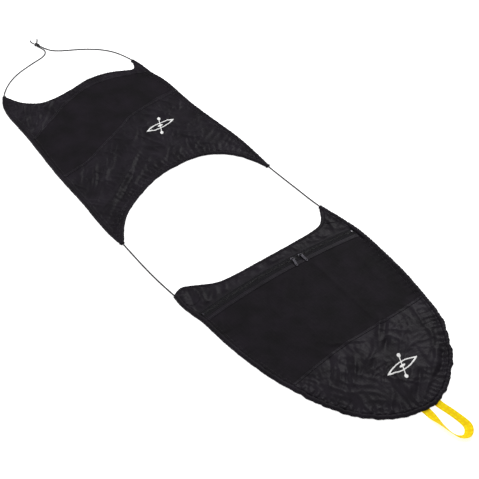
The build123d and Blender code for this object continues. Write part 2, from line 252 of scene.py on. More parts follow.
def closed_tube(name, places, radius, around=12):
    """A tube along a line that closes on itself."""
    ahead = unit(np.roll(places, -1, 0) - np.roll(places, 1, 0))
    verts = round_rings(places, ahead, radius, around).reshape(-1, 3)
    faces = []
    for i in range(len(places)):
        a, b = i * around, ((i + 1) % len(places)) * around
        faces += [(a + j, a + (j + 1) % around, b + (j + 1) % around, b + j) for j in range(around)]
    return mesh_object(name, verts, faces)


knot_line = trefoil(knot_turns) + np.array([KNOT[0], KNOT[1], 8.0])
knot = closed_tube("rear_knot_turns", knot_line * MM, KNOT_R * MM)
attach(knot, "rear_loop")
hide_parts("rear_knot")
tails = []
for name, points in (("knot_tail_left", TAIL_LEFT), ("knot_tail_right", TAIL_RIGHT)):
    tail = tube_mesh(name + "_cloth", resample(follow(points), 2 * MM), CORD_R)
    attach(tail, "rear_loop")
    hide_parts(name)
    tails.append(tail)
for name, points, pieces in (
    ("rear_cord_left", REAR_CORD_LEFT, [knot, *tails]), ("rear_cord_right", REAR_CORD_RIGHT, []),
):
    places = resample(follow(points), 4 * MM)
    strand = tube_mesh(name + "_cloth", places, CORD_R)
    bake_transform(strand)
    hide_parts(name)
    cords[name] = strand
    print(name, "is", round(length_of(places), 3), "m long")
print("knot:", len(knot.data.vertices), "points in its turns")
cords.update({"rear_knot": knot, "knot_tail_left": tails[0], "knot_tail_right": tails[1]})

# %% [markdown]
# ## Materials
# Colours are sRGB hex values, turned to linear by one function. One more function adds a shader node
# with its settings and links. Patterns lie in object space, where one unit is a metre, or along the
# strap on tapes and webbing, also in metres.

# %% Material helpers


def linear(hex_colour):
    """An sRGB hex colour as linear RGBA."""
    parts = [int(hex_colour[i : i + 2], 16) / 255 for i in (1, 3, 5)]
    return (*[c / 12.92 if c <= 0.04045 else ((c + 0.055) / 1.055) ** 2.4 for c in parts], 1)


def node(tree, kind, settings=None, **inputs):
    """Adds a node. A tuple of node and socket name links an input; anything else sets it."""
    made = tree.nodes.new(kind)
    for key, value in (settings or {}).items():
        setattr(made, key, value)
    for key, value in inputs.items():
        socket = made.inputs[int(key[1:])] if key[0] == "_" else made.inputs[key.replace("_", " ")]
        if isinstance(value, tuple) and len(value) == 2 and isinstance(value[1], str):
            tree.links.new(value[0].outputs[value[1]], socket)
        else:
            socket.default_value = value
    return made


def new_material(name):
    """An empty material and its Principled shader."""
    material = bpy.data.materials.new(name)
    material.use_nodes = True
    return material, material.node_tree, material.node_tree.nodes["Principled BSDF"]


def link(tree, source, shader, socket):
    tree.links.new(source[0].outputs[source[1]], shader.inputs[socket])


def wave_scale(band_mm):
    """The wave texture's scale for a band of this size. Straight bands repeat every 2 pi of it, since at
    scale 1 the texture repeats every 2 pi / 20 units: 1.6 mm gives bands 10 mm apart."""
    return 1 / (band_mm * MM) / 20


def ramp(tree, source, low, high, low_at, high_at):
    """A two-colour ramp fed by a value."""
    made = node(tree, "ShaderNodeValToRGB", None, Fac=source)
    made.color_ramp.elements[0].position, made.color_ramp.elements[1].position = low_at, high_at
    made.color_ramp.elements[0].color, made.color_ramp.elements[1].color = low, high
    return made


print("mid grey #808080 is", round(linear("#808080")[0], 3), "in linear light")

# %% [markdown]
# ### Woven nylon
# Both cloths are black nylon taffeta. The coated one has a polyurethane film that catches light on each
# fold; the plain one is matt. The real weave is about 0.25 mm, too fine to show, so it is drawn far
# coarser: 10 mm on the plain cloth, and fainter, 7.5 mm, on the coated one and the hems. Cloud noise
# over hand widths varies the colour, and a finer noise varies the gloss.

# %% Nylon
WEAVE_RELIEF = 0.6 * MM  # how far threads stand up


def nylon(name, dark, light, roughness, band_mm, weave_depth, gleam):
    """Woven nylon: two crossed thread waves, a fine ripple, and slow changes of colour."""
    material, tree, shader = new_material(name)
    where = node(tree, "ShaderNodeTexCoord")
    clouds = node(tree, "ShaderNodeTexNoise", None, Vector=(where, "Object"), Scale=14.0, Detail=4.0)
    fine = node(tree, "ShaderNodeTexNoise", None, Vector=(where, "Object"), Scale=130.0, Detail=3.0)
    tint = ramp(tree, (clouds, "Fac"), linear(dark), linear(light), 0.35, 0.7)
    link(tree, (tint, "Color"), shader, "Base Color")
    gloss = node(
        tree, "ShaderNodeMapRange", None,
        Value=(fine, "Fac"), To_Min=roughness - 0.08, To_Max=roughness + 0.1,
    )
    link(tree, (gloss, "Result"), shader, "Roughness")
    threads = []
    for turn in ("X", "Y"):
        wave = node(
            tree, "ShaderNodeTexWave", {"bands_direction": turn}, Vector=(where, "Object"),
            Scale=wave_scale(band_mm), Distortion=0.6, Detail=1.0,
        )
        threads.append(wave)
    weave = node(
        tree, "ShaderNodeMath", {"operation": "MULTIPLY"}, _0=(threads[0], "Fac"), _1=(threads[1], "Fac")
    )
    height = node(tree, "ShaderNodeMath", {"operation": "ADD"}, _0=(weave, "Value"), _1=(fine, "Fac"))
    bump = node(
        tree, "ShaderNodeBump", None,
        Height=(height, "Value"), Strength=weave_depth, Distance=WEAVE_RELIEF,
    )
    link(tree, (bump, "Normal"), shader, "Normal")
    shader.inputs["Specular IOR Level"].default_value = gleam
    return material


coated_nylon = nylon("coated_nylon_taffeta", "#141116", "#1f1b22", 0.46, 1.2, 0.2, 0.08)
plain_nylon = nylon("plain_nylon_taffeta", "#131114", "#1b171d", 0.66, 1.6, 0.3, 0.06)
hem_nylon = nylon("stitched_nylon_hem", "#141116", "#1d1920", 0.52, 1.2, 0.25, 0.07)
print("nylons:", coated_nylon.name, plain_nylon.name, hem_nylon.name)

# %% [markdown]
# ### Cord, webbing and thread
# Shock cord is rubber strands in a braided polyester sleeve: the braid is two crossed waves. Like the
# weave, braid and ribs are drawn coarser than the real ones, the cord's at 12 mm and the webbing's at
# 14 mm. Polypropylene webbing has heavy ribs across it and a satin face; its yellow is dyed through.
# Bonded thread is a shade lighter than the cloth, so that a row of stitches shows.

# %% Woven cords


def braid(name, dark, light, band_mm, roughness):
    material, tree, shader = new_material(name)
    where = node(tree, "ShaderNodeTexCoord")
    strands = []
    for tilt in (0.6, -0.6):
        turned = node(tree, "ShaderNodeMapping", None, Vector=(where, "Object"), Rotation=(0.4, tilt, tilt))
        strands.append(
            node(
                tree, "ShaderNodeTexWave", {"bands_direction": "DIAGONAL"}, Vector=(turned, "Vector"),
                Scale=wave_scale(band_mm),
            )
        )
    crossed = node(
        tree, "ShaderNodeMath", {"operation": "MAXIMUM"}, _0=(strands[0], "Fac"), _1=(strands[1], "Fac")
    )
    tint = ramp(tree, (crossed, "Value"), linear(dark), linear(light), 0.3, 1.0)
    link(tree, (tint, "Color"), shader, "Base Color")
    bump = node(tree, "ShaderNodeBump", None, Height=(crossed, "Value"), Strength=0.5, Distance=0.0008)
    link(tree, (bump, "Normal"), shader, "Normal")
    shader.inputs["Roughness"].default_value = roughness
    return material


cord_sleeve = braid("braided_polyester_sleeve", "#0f0e11", "#1d1b20", 1.6, 0.6)
thread = braid("bonded_nylon_thread", "#1c1a1e", "#2b282e", 0.8, 0.55)


def ribbed(name, dark, light, band_mm, roughness, depth):
    """Woven tape or webbing: ribs across its length and a little soiling."""
    material, tree, shader = new_material(name)
    where = node(tree, "ShaderNodeTexCoord")
    ribs, cross = [
        node(
            tree, "ShaderNodeTexWave", {"bands_direction": turn}, Vector=(where, "UV"),
            Scale=wave_scale(band_mm),
        )
        for turn in ("X", "Y")
    ]
    twill = node(tree, "ShaderNodeMath", {"operation": "MULTIPLY"}, _0=(ribs, "Fac"), _1=(cross, "Fac"))
    soil = node(tree, "ShaderNodeTexNoise", None, Vector=(where, "Object"), Scale=60.0, Detail=4.0)
    mixed = node(
        tree, "ShaderNodeMath", {"operation": "MULTIPLY_ADD"}, _0=(twill, "Value"), _1=0.6, _2=(soil, "Fac")
    )
    tint = ramp(tree, (mixed, "Value"), linear(dark), linear(light), 0.3, 1.0)
    link(tree, (tint, "Color"), shader, "Base Color")
    bump = node(tree, "ShaderNodeBump", None, Height=(twill, "Value"), Strength=depth, Distance=WEAVE_RELIEF)
    link(tree, (bump, "Normal"), shader, "Normal")
    shader.inputs["Roughness"].default_value = roughness
    shader.inputs["Specular IOR Level"].default_value = 0.12
    return material


yellow_webbing = ribbed("woven_polypropylene_webbing", "#f5c800", "#ffe600", 2.2, 0.7, 0.35)
zip_tape = ribbed("woven_polyester_zip_tape", "#0f0e11", "#17151a", 1.2, 0.8, 0.5)
print("woven goods:", cord_sleeve.name, thread.name, yellow_webbing.name, zip_tape.name)

# %% [markdown]
# ### Zip and print
# The coil is moulded nylon monofilament with a slight shine. Sliders and pulls are die-cast zinc under
# black lacquer, speckled where it is thin. The marks are screen-printed ink with a chalky, lightly
# speckled face.

# %% Zip and print


def speckled(name, dark, light, scale, roughness, metallic=0.0, bump_depth=0.2, coat=0.0):
    material, tree, shader = new_material(name)
    where = node(tree, "ShaderNodeTexCoord")
    grain = node(tree, "ShaderNodeTexNoise", None, Vector=(where, "Object"), Scale=scale, Detail=5.0)
    tint = ramp(tree, (grain, "Fac"), linear(dark), linear(light), 0.3, 0.7)
    link(tree, (tint, "Color"), shader, "Base Color")
    bump = node(tree, "ShaderNodeBump", None, Height=(grain, "Fac"), Strength=bump_depth, Distance=0.0004)
    link(tree, (bump, "Normal"), shader, "Normal")
    shader.inputs["Roughness"].default_value = roughness
    shader.inputs["Metallic"].default_value = metallic
    shader.inputs["Coat Weight"].default_value = coat
    return material


coil_nylon = speckled("moulded_nylon_coil", "#121114", "#1e1c20", 300.0, 0.4)
lacquered_zinc = speckled("lacquered_die_cast_zinc", "#232127", "#4d4a52", 90.0, 0.3, 0.7, 0.15, 0.4)
print_ink = speckled("screen_print_ink", "#d9d9d9", "#f6f6f4", 220.0, 0.6)
floor_paint = speckled("matt_white_floor", "#f4f4f4", "#ffffff", 4.0, 0.9, bump_depth=0.0)


def dress(piece, material):
    piece.data.materials.clear()
    piece.data.materials.append(material)
    return piece


floor_shader = floor_paint.node_tree.nodes["Principled BSDF"]
floor_shader.inputs["Emission Color"].default_value = (1, 1, 1, 1)
floor_shader.inputs["Emission Strength"].default_value = 0.6
dress(floor, floor_paint)
for piece in cords.values():
    dress(piece, cord_sleeve)
print("materials:", len(bpy.data.materials))

# %% [markdown]
# ## Lines that shape the cloth
# Every hem runs along a line, and everything the cloth does starts from those lines: it rises over the
# hem, it is gathered into pleats where elastic pulls it short, and it is calm in the middle of a panel.
# The lines repeat the hems and the panel seams of the CAD model, in millimetres.

# %% Hem lines
FRONT_LEFT, FRONT_RIGHT = (100, 292), (127, -311)
FRONT_RIM = [
    FRONT_LEFT, (145, 299), (200, 306), (262, 314), (330, 310), (416, 302), (490, 294),
    (558, 280), (620, 267), (678, 251), (728, 226), (770, 197), (808, 170), (839, 134),
    (867, 93), (889, 50), (899, 4), (893, -40), (880, -80), (862, -113), (841, -146),
    (812, -176), (775, -201), (730, -225), (676, -245), (618, -263), (556, -280),
    (488, -291), (416, -299), (340, -303), (262, -302), (205, -312), (165, -315), FRONT_RIGHT,
]
FRONT_WAIST = [
    FRONT_RIGHT, (107, -283), (124, -248), (147, -209), (159, -186), (167, -158), (171, -110),
    (172, -50), (173.2, 20), (174.6, 90), (174.8, 150), (174, 190), (171, 222), (162, 243),
    (143, 264), (116, 281), FRONT_LEFT,
]
REAR_FRONT_LEFT, REAR_FRONT_RIGHT = (-159, 288), (-156, -305)
REAR_LEFT, REAR_RIGHT = (-938, 278), (-1043, -210)
SIDE_LEFT = [
    REAR_FRONT_LEFT, (-198, 293), (-262, 297), (-346, 301), (-420, 297), (-490, 293),
    (-560, 290), (-626, 290), (-690, 294), (-750, 297), (-794, 292), (-834, 283),
    (-886, 285), REAR_LEFT,
]
SIDE_RIGHT = [
    REAR_FRONT_RIGHT, (-196, -309), (-252, -308), (-314, -303), (-390, -294), (-484, -290),
    (-584, -283), (-682, -271), (-784, -260), (-872, -254), (-942, -250), (-988, -239),
    (-1018, -225), REAR_RIGHT,
]
REAR_WAIST = [
    REAR_FRONT_RIGHT, (-190, -283), (-239, -248), (-280, -198), (-320, -120), (-348, -48),
    (-357, 5), (-359, 57), (-357, 106), (-347, 153), (-318, 206), (-278, 242),
    (-236, 264), (-192, 279), REAR_FRONT_LEFT,
]
REAR_EDGE = [
    REAR_LEFT, (-910, 269), (-892, 257), (-890, 240), (-911, 207), (-929, 172), (-941, 125),
    (-944, 73), (-932, 25), (-924, -25), (-920, -92), (-930, -132), (-958, -167),
    (-994, -192), REAR_RIGHT,
]


LINE_STEP = 3.0  # millimetres between the places of a hem or a seam


def through(points, per_gap):
    """Rows along a smooth curve through every point (Catmull-Rom), up to the last point but without it."""
    places = np.array(points, float)
    ends = np.vstack([2 * places[0] - places[1], places, 2 * places[-1] - places[-2]])
    rows = []
    for a, b, c, d in zip(ends, ends[1:], ends[2:], ends[3:]):
        slope, bend, twist = c - a, 2 * a - 5 * b + 4 * c - d, 3 * b - a - 3 * c + d
        for t in np.linspace(0, 1, per_gap, endpoint=False):
            rows.append(0.5 * (2 * b + slope * t + bend * t**2 + twist * t**3))
    return np.array(rows)


def seam_line(points):
    """Evenly spaced places along a panel seam, in millimetres, on the floor."""
    line = through(points, 24)
    return resample(np.column_stack([line, np.zeros(len(line))]), LINE_STEP)[:, :2]


def edge_line(points):
    """Evenly spaced places along a hem, in millimetres, on the floor."""
    places = follow([(x, y, 0) for x, y in points]) / MM
    return resample(places, LINE_STEP)[:, :2]


# each hem: line, rise of the cloth at it, pleat height, pleat pitch, pleat reach, side of the cloth (1 left)
HEMS = {
    "front_rim": (edge_line(FRONT_RIM), 4.0, 1.8, 21.0, 30.0, -1),
    "front_waist": (edge_line(FRONT_WAIST), 1.6, 0.5, 24.0, 16.0, -1),
    "side_left": (edge_line(SIDE_LEFT), 3.2, 1.0, 26.0, 16.0, 1),
    "side_right": (edge_line(SIDE_RIGHT), 3.2, 0.9, 28.0, 18.0, -1),
    "rear_waist": (edge_line(REAR_WAIST), 4.2, 2.9, 18.0, 44.0, 1),
    "rear_edge": (edge_line(REAR_EDGE), 2.2, 1.1, 22.0, 24.0, 1),
}
NOSE_SEAM = [(588, 320), (591, 190), (588, 60), (587, -40), (596, -160), (618, -320)]
BAND_SEAM = [(-822, 320), (-868, 233), (-906, 110), (-900, 25), (-866, -75), (-826, -151), (-730, -320)]
MIDDLE_SEAM = [(-692, 330), (-676, 110), (-640, 20), (-594, -87), (-560, -170), (-530, -330)]
SEAM_LINES = [seam_line(points) for points in (NOSE_SEAM, BAND_SEAM, MIDDLE_SEAM)]
NOSE_LINE, BAND_LINE, MIDDLE_LINE = SEAM_LINES
FRONT_HEMS, REAR_HEMS = ("front_rim", "front_waist"), ("side_left", "side_right", "rear_waist", "rear_edge")
for name, (line, *_) in HEMS.items():
    print(name, "hem:", round(length_of(line)), "mm")

# %% [markdown]
# ## How the cloth lies
# A cloth simulation would be one way to crumple the panels. Here the lie is drawn instead, as a height
# for every place, because that puts each fold where it is wanted. It adds up four things a person sees
# in the real cloth. Pleats run in from each gathered hem and die out. Draw folds run out of the horns,
# where the cords pull. Film-coated cloth has sharp crossed crinkles; plain cloth only rolls softly. The
# bow panel stands up a little, because the elastic round it pulls its rim short.

# %% Noise in the plane
draw = np.random.default_rng(11)
ORDER, HEADINGS = draw.permutation(256), draw.uniform(0, 2 * pi, 256)


def noise(x, y):
    """Gradient noise in the plane, about -0.7 to 0.7, one bump to a unit."""
    col, row = np.floor(x).astype(int), np.floor(y).astype(int)
    fx, fy = x - col, y - row

    def corner(i, j):
        heading = HEADINGS[ORDER[(ORDER[(col + i) % 256] + row + j) % 256]]
        return np.cos(heading) * (fx - i) + np.sin(heading) * (fy - j)

    u, v = fx**3 * (fx * (fx * 6 - 15) + 10), fy**3 * (fy * (fy * 6 - 15) + 10)
    low = corner(0, 0) * (1 - u) + corner(1, 0) * u
    high = corner(0, 1) * (1 - u) + corner(1, 1) * u
    return low * (1 - v) + high * v


def crinkle(x, y, across, along, heading):
    """Sharp ridges that run along a heading, in degrees, 0 to 1 high."""
    c, s = cos(radians(heading)), sin(radians(heading))
    bend = 0.35 * noise(x / 90 + 7, y / 90 - 3)
    ridge = np.abs(noise((x * c + y * s) / along + 31, (y * c - x * s) / across + bend))
    return np.clip(1 - 3.2 * ridge, 0, 1) ** 1.5


def smooth(low, high, value):
    """0 up to one value and 1 from the other, with a soft slope between them."""
    t = np.clip((value - low) / (high - low), 0, 1)
    return t * t * (3 - 2 * t)


sample = noise(*np.meshgrid(np.linspace(0, 9, 90), np.linspace(0, 9, 90)))
print("noise runs from", round(sample.min(), 2), "to", round(sample.max(), 2))


# %% [markdown]
# Draw folds are a list: where each starts and ends, how wide it is and how high. A minus height is a
# valley. Single folds come first. The rest come in rows side by side, as cloth lies where it is pulled
# between two seams.

# %% Draw folds and the lie of the cloth
FOLDS = [
    ((-925, -95), (-805, -255), 7, 2.6), ((-905, -85), (-790, -262), 6, -1.5),
    ((-935, -130), (-850, -262), 6, 2.2), ((-960, -165), (-880, -262), 5, 1.8),
    ((-990, -190), (-930, -255), 5, 1.5), ((-935, 150), (-905, 110), 6, 1.6),
    ((-505, 5), (-275, -290), 10, 3.0), ((-470, -20), (-300, -215), 7, -1.8),
    ((-440, -5), (-290, -235), 8, 2.4), ((-565, -125), (-430, -250), 8, -1.8),
    ((-600, -90), (-440, -225), 8, 1.6), ((-540, -75), (-340, -295), 7, 1.6),
    ((-250, -300), (-300, -160), 6, 1.5), ((-230, -290), (-345, -60), 5, 1.2),
    ((-190, 286), (-330, 225), 5, 1.8), ((-215, 290), (-370, 250), 6, -1.2),
    ((-640, 110), (-560, 90), 9, 1.4), ((-600, 60), (-520, -20), 9, 1.4),
    ((-420, 90), (-400, -60), 9, 1.3), ((-900, 265), (-840, 235), 5, 1.6),
    ((-820, -240), (-690, -262), 6, 1.2), ((125, -285), (205, -312), 5, 2.0),
    ((128, -262), (225, -300), 5, -1.2), ((150, -230), (300, -300), 6, 2.2),
    ((165, -190), (330, -290), 7, 1.4), ((112, 285), (205, 255), 5, 1.6),
    ((140, 292), (240, 240), 6, 1.0), ((350, -190), (440, -285), 9, 1.2),
    ((330, 240), (480, 220), 10, 0.9), ((265, 110), (590, 95), 8, 0.9),
    ((600, 215), (720, 175), 8, 2.4), ((600, 130), (665, 20), 8, 2.2),
    ((610, -95), (690, -195), 7, 2.6), ((625, 50), (700, -60), 8, 1.9),
    ((640, -40), (760, -185), 7, 1.8), ((690, 200), (800, 120), 7, 2.0),
    ((800, 125), (870, -15), 7, 2.2), ((770, -20), (850, -110), 8, 1.8),
    ((720, 110), (800, 90), 7, -1.6), ((660, -120), (740, -60), 7, 1.5),
    ((620, 180), (640, 60), 6, 1.6), ((820, 60), (760, -60), 9, 1.4),
]


def sweep(middle, heading, length, gap, wide, heights):
    """Draw folds side by side, one for each height: the rows that a pull between two seams leaves."""
    c, s = cos(radians(heading)), sin(radians(heading))
    rows = []
    for number, tall in enumerate(heights):
        shift = (number - (len(heights) - 1) / 2) * gap
        x, y = middle[0] - s * shift, middle[1] + c * shift
        half_x, half_y = c * length / 2, s * length / 2
        rows.append(((x - half_x, y - half_y), (x + half_x, y + half_y), wide, tall))
    return rows


# nose panel
FOLDS += sweep((620, 75), -45, 130, 20, 7, (3.0, -3.2))
FOLDS += sweep((655, -110), -40, 105, 22, 6, (-2.8, 2.8, -2.4, 2.4))
FOLDS += sweep((795, 130), -55, 115, 22, 6.5, (2.6, -3.2))
FOLDS += sweep((810, 20), -50, 100, 24, 6, (2.4, -2.8))
FOLDS += sweep((780, -160), -15, 85, 28, 6, (-2.6, 2.6))
FOLDS += sweep((585, -30), 60, 110, 24, 7, (2.4,))
FOLDS += sweep((800, -30), -10, 120, 30, 7, (-1.8, 2.2))
# corners of the mouth, front deck
FOLDS += sweep((65, -215), -20, 75, 28, 5, (-2.8, 3.0, -2.0))
FOLDS += sweep((60, 250), 10, 80, 18, 5, (-2.6, 2.2))
FOLDS += sweep((300, -30), -45, 150, 50, 9, (-1.2, 1.3, -1.2))
# rear deck: behind the mouth, then the horns
FOLDS += sweep((-375, -170), -60, 240, 30, 11, (4.6,))
FOLDS += sweep((-500, -180), -35, 145, 35, 7, (-3.4, 3.0, 2.4))
FOLDS += sweep((-410, 80), -45, 80, 32, 5, (-2.2, 2.0))
FOLDS += sweep((-890, -200), -25, 160, 24, 5, (-2.6, 2.6, -2.6, 2.4))
FOLDS += sweep((-845, -135), -45, 210, 36, 8, (4.0, -2.2))

CRINKLES = [  # heading in degrees, then width, length and height of the ridges
    (35, 34, 120, 2.2), (-52, 27, 90, 1.8), (80, 22, 70, 1.3), (-15, 17, 60, 1.1),
]
CLOTH_Z, CLOTH_LEAST = 2.9, 1.3  # the cloth's usual height, and its least
FOLD_GAIN = 1.25  # how much higher every draw fold is than its row says
ZIP_X, ZIP_Y, ZIP_R = 224.0, -40.0, 2300.0  # rearmost point of the zip's arc, and its radius
ZIP_FLAT = 2.4  # height of the cloth beside the zip
PUFF_FROM, PUFF_TO = 570, 680  # where the bow panel starts to stand up, and where it does fully


def zip_offset(x, y):
    """How far a place is in front of the zip's middle line."""
    return x - ZIP_X - (y - ZIP_Y) ** 2 / (2 * ZIP_R)


def nearest(x, y, line):
    """Distance to a line and travel along it, for every place."""
    away, travel = np.empty(len(x)), np.empty(len(x))
    for start in range(0, len(x), 4000):
        part = slice(start, start + 4000)
        gap = np.hypot(x[part, None] - line[None, :, 0], y[part, None] - line[None, :, 1])
        index = gap.argmin(1)
        away[part], travel[part] = gap.min(1), index * LINE_STEP
    return away, travel


def pleats(travel, pitch, seed):
    """Uneven pleats along a gathered edge, about -1 to 1."""
    warp = 0.9 * noise(travel / 55, travel * 0 + seed)
    main = np.cos(2 * pi * (travel / pitch + warp))
    minor = np.cos(2 * pi * (travel / (pitch * 0.57) + 2 * warp + 0.3))
    return 0.7 * np.sign(main) * np.abs(main) ** 0.8 + 0.3 * minor


def lie(x, y, shine):
    """Height of the cloth's upper side at every place, in millimetres. Shine is 1 on coated panels and 0 on
    plain ones; it meets in the middle at a seam, so that two panels have the same height there."""
    from_seam = np.min([nearest(x, y, line)[0] for line in SEAM_LINES], 0)
    shine = 0.5 + (shine - 0.5) * smooth(4, 22, from_seam)
    soft = 1.6 * noise(x / 130, y / 130) + 0.9 * noise(x / 48 + 9, y / 48) + 0.35 * noise(x / 17, y / 17 + 5)
    height = CLOTH_Z + soft * (0.55 + 0.6 * shine)
    for heading, across, along, tall in CRINKLES:
        patchy = smooth(-0.25, 0.3, noise(x / 75 + heading, y / 75))
        height = height + tall * (0.2 + shine) * patchy * crinkle(x, y, across, along, heading)
    for (x0, y0), (x1, y1), wide, tall in FOLDS:
        run, rise = x1 - x0, y1 - y0
        reach = np.hypot(run, rise)
        share = ((x - x0) * run + (y - y0) * rise) / reach**2
        sway = 5 * noise(share * 3 + x0, share * 0 + y0)
        off = ((x - x0) * rise - (y - y0) * run) / reach + sway
        ends = smooth(-0.12, 0.15, share) * smooth(1.15, 0.8, share)
        height = height + FOLD_GAIN * tall * ends * np.exp(-((off / wide) ** 2))
    puff = smooth(PUFF_FROM, PUFF_TO, x)
    for number, name in enumerate(FRONT_HEMS if x.mean() > 0 else REAR_HEMS):
        line, rise, tall, pitch, reach, _ = HEMS[name]
        away, travel = nearest(x, y, line)
        in_from = np.maximum(away - 5, 0)
        die = reach * (0.75 + 0.9 * noise(travel / 31 + 3, travel * 0 + number))
        bow = 1 + 0.9 * puff if name == "front_rim" else 1
        calm = 1 - 0.75 * np.exp(-((away / 11) ** 2))
        height = height * calm + (1 - calm) * 3
        height = height + rise * np.exp(-((in_from / 13) ** 2)) - 0.8 * np.exp(-(((away - 17) / 2.2) ** 2))
        height = height + tall * bow * pleats(travel, pitch, number) * np.exp(-((in_from / die) ** 2))
        if name == "front_rim":
            dome = 7 * (1 - np.exp(-((in_from / 45) ** 2))) + 2.0 * np.exp(-((in_from / 30) ** 2))
            height = height + puff * dome
        height = np.minimum(height, rise + 1.4 + 0.9 * in_from)
    from_zip = zip_offset(x, y)
    near_zip = np.where(from_zip > 0, smooth(52, 40, from_zip), smooth(-30, -15, from_zip)) * (x > 0)
    height = height * (1 - near_zip) + ZIP_FLAT * near_zip
    return np.maximum(height, CLOTH_LEAST)


print("draw folds:", len(FOLDS))


# %% [markdown]
# ## Panels
# Each panel's outline is read off the top face of its CAD solid, so neighbours meet exactly at their
# seam. The inside is filled with a close grid of points, joined into triangles, raised by the lie of
# the cloth, and given 0.7 mm of thickness, which is more than the real 0.2 mm.

# %% Outline of a flat CAD node


def top_loops(name):
    """The outlines of a flat CAD node's top face, longest first, in millimetres."""
    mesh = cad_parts[name].data
    top = max(v.co.z for v in mesh.vertices) - 0.05 * MM
    key, spots, index_of = {}, [], []
    for vertex in mesh.vertices:
        at = (round(vertex.co.x / MM, 2), round(vertex.co.y / MM, 2))
        if at not in key:
            key[at] = len(spots)
            spots.append(at)
        index_of.append(key[at])
    seen = {}
    for face in mesh.polygons:
        if face.normal.z > 0.9 and all(mesh.vertices[i].co.z > top for i in face.vertices):
            ring = [index_of[i] for i in face.vertices]
            for a, b in zip(ring, ring[1:] + ring[:1]):
                seen[(a, b)] = True
    following = {a: b for a, b in seen if (b, a) not in seen}
    loops = []
    while following:
        start, here = next(iter(following.items()))
        loop = [start]
        following.pop(start)
        while here != start and here in following:
            loop.append(here)
            here = following.pop(here)
        loops.append(np.array([spots[i] for i in loop], float))
    return sorted(loops, key=lambda loop: -length_of(loop))


print("nose panel outline:", round(length_of(top_loops("nose_panel")[0])), "mm")

# %% [markdown]
# A grid alone would leave ragged edges, and an outline alone would leave nothing inside to bend. So the
# outline is divided into even sides, a staggered grid fills it, and a constrained triangulation joins
# both.

# %% Fill an outline


def even_ring(loop, step):
    """A closed outline with no side longer than a step."""
    points = []
    for a, b in zip(loop, np.roll(loop, -1, 0)):
        parts = max(1, int(np.ceil(np.linalg.norm(b - a) / step)))
        points += [a + (b - a) * i / parts for i in range(parts)]
    kept = [points[0]]
    for point in points[1:]:
        if np.linalg.norm(point - kept[-1]) > 0.45 * step:
            kept.append(point)
    return np.array(kept)


def inside(x, y, ring):
    """Which places are inside a closed outline."""
    result = np.zeros(len(x), bool)
    for (x0, y0), (x1, y1) in zip(ring, np.roll(ring, -1, 0)):
        if y0 != y1:
            crosses = (y0 > y) != (y1 > y)
            result ^= crosses & (x < (x1 - x0) * (y - y0) / (y1 - y0) + x0)
    return result


def filled(ring, pitch):
    """Points and triangles that fill an outline."""
    low, high = ring.min(0), ring.max(0)
    rows = np.arange(low[1], high[1], pitch * 0.866)
    columns = np.arange(low[0], high[0], pitch)
    grid_x, grid_y = np.meshgrid(columns, rows)
    grid_x = grid_x + (np.arange(len(rows)) % 2)[:, None] * pitch / 2
    x, y = grid_x.ravel(), grid_y.ravel()
    keep = inside(x, y, ring)
    x, y = x[keep], y[keep]
    away, _ = nearest(x, y, ring)
    x, y = x[away > 0.6 * pitch], y[away > 0.6 * pitch]
    points = np.concatenate([ring, np.stack([x, y], 1)])
    border = [(i, (i + 1) % len(ring)) for i in range(len(ring))]
    made = delaunay_2d_cdt([Vector(p) for p in points], border, [tuple(range(len(ring)))], 1, 1e-4)
    return np.array([tuple(v) for v in made[0]]), [tuple(face) for face in made[2]]


def area_of(ring):
    x, y = ring[:, 0], ring[:, 1]
    return abs(np.dot(x, np.roll(y, -1)) - np.dot(y, np.roll(x, -1))) / 2


square = np.array([(0.0, 0.0), (60.0, 0.0), (60.0, 60.0), (0.0, 60.0)])
print("a 60 mm square fills with", len(filled(even_ring(square, 6.0), 6.0)[1]), "triangles")

# %% [markdown]
# Each panel takes the place of its CAD node, which is hidden. It hangs from the body that carries it,
# takes its material, and prints its area.

# %% One panel
CLOTH_MM = 0.7  # thickness
PITCH = 4.0


def cloth_panel(node_name, body, material, slot_name, shine, lift=0.0, pitch=PITCH):
    """A crumpled panel in the place of a flat CAD one."""
    ring = even_ring(top_loops(node_name)[0], pitch)
    spots, faces = filled(ring, pitch)
    height = lie(spots[:, 0], spots[:, 1], shine) + lift
    verts = np.column_stack([spots, height]) * MM
    panel = mesh_object(node_name + "_cloth", verts, faces)
    skin = panel.modifiers.new("thickness", "SOLIDIFY")
    skin.thickness, skin.offset = CLOTH_MM * MM, -1
    dress(panel, material)
    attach(panel, body)
    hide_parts(node_name)
    long, wide = sorted((ring.max(0) - ring.min(0)) * MM, reverse=True)
    area = area_of(ring) * 1e-6
    if area < 0.35 * long * wide:  # a narrow curved strip is as wide as its area and length make it
        wide, area = area / long, None
    print(node_name, "has", len(verts), "points over", round(area_of(ring) * 1e-6, 3), "m2")
    return panel


# %% Panels
COATED, PLAIN = (coated_nylon, "coated_nylon", 1.0), (plain_nylon, "plain_nylon", 0.0)
PANELS = {
    "nose_panel": ("front_deck", COATED), "front_main_panel": ("front_deck", PLAIN),
    "zip_facing": ("front_deck", COATED), "waist_band": ("front_deck", COATED),
    "rear_band": ("rear_deck", COATED), "rear_main_panel": ("rear_deck", PLAIN),
    "rear_front_panel": ("rear_deck", COATED),
}
for name, (body, finish) in PANELS.items():
    cloth_panel(name, body, *finish)
PATCHES = {
    "corner_patch_left": "front_deck", "corner_patch_right": "front_deck",
    "rear_patch_front_left": "rear_deck", "rear_patch_front_right": "rear_deck",
    "rear_patch_back_left": "rear_deck", "rear_patch_back_right": "rear_deck",
}
for name, body in PATCHES.items():
    cloth_panel(name, body, *COATED, lift=0.55, pitch=4.0)
print("cloth pieces:", len(PANELS), "panels and", len(PATCHES), "patches")

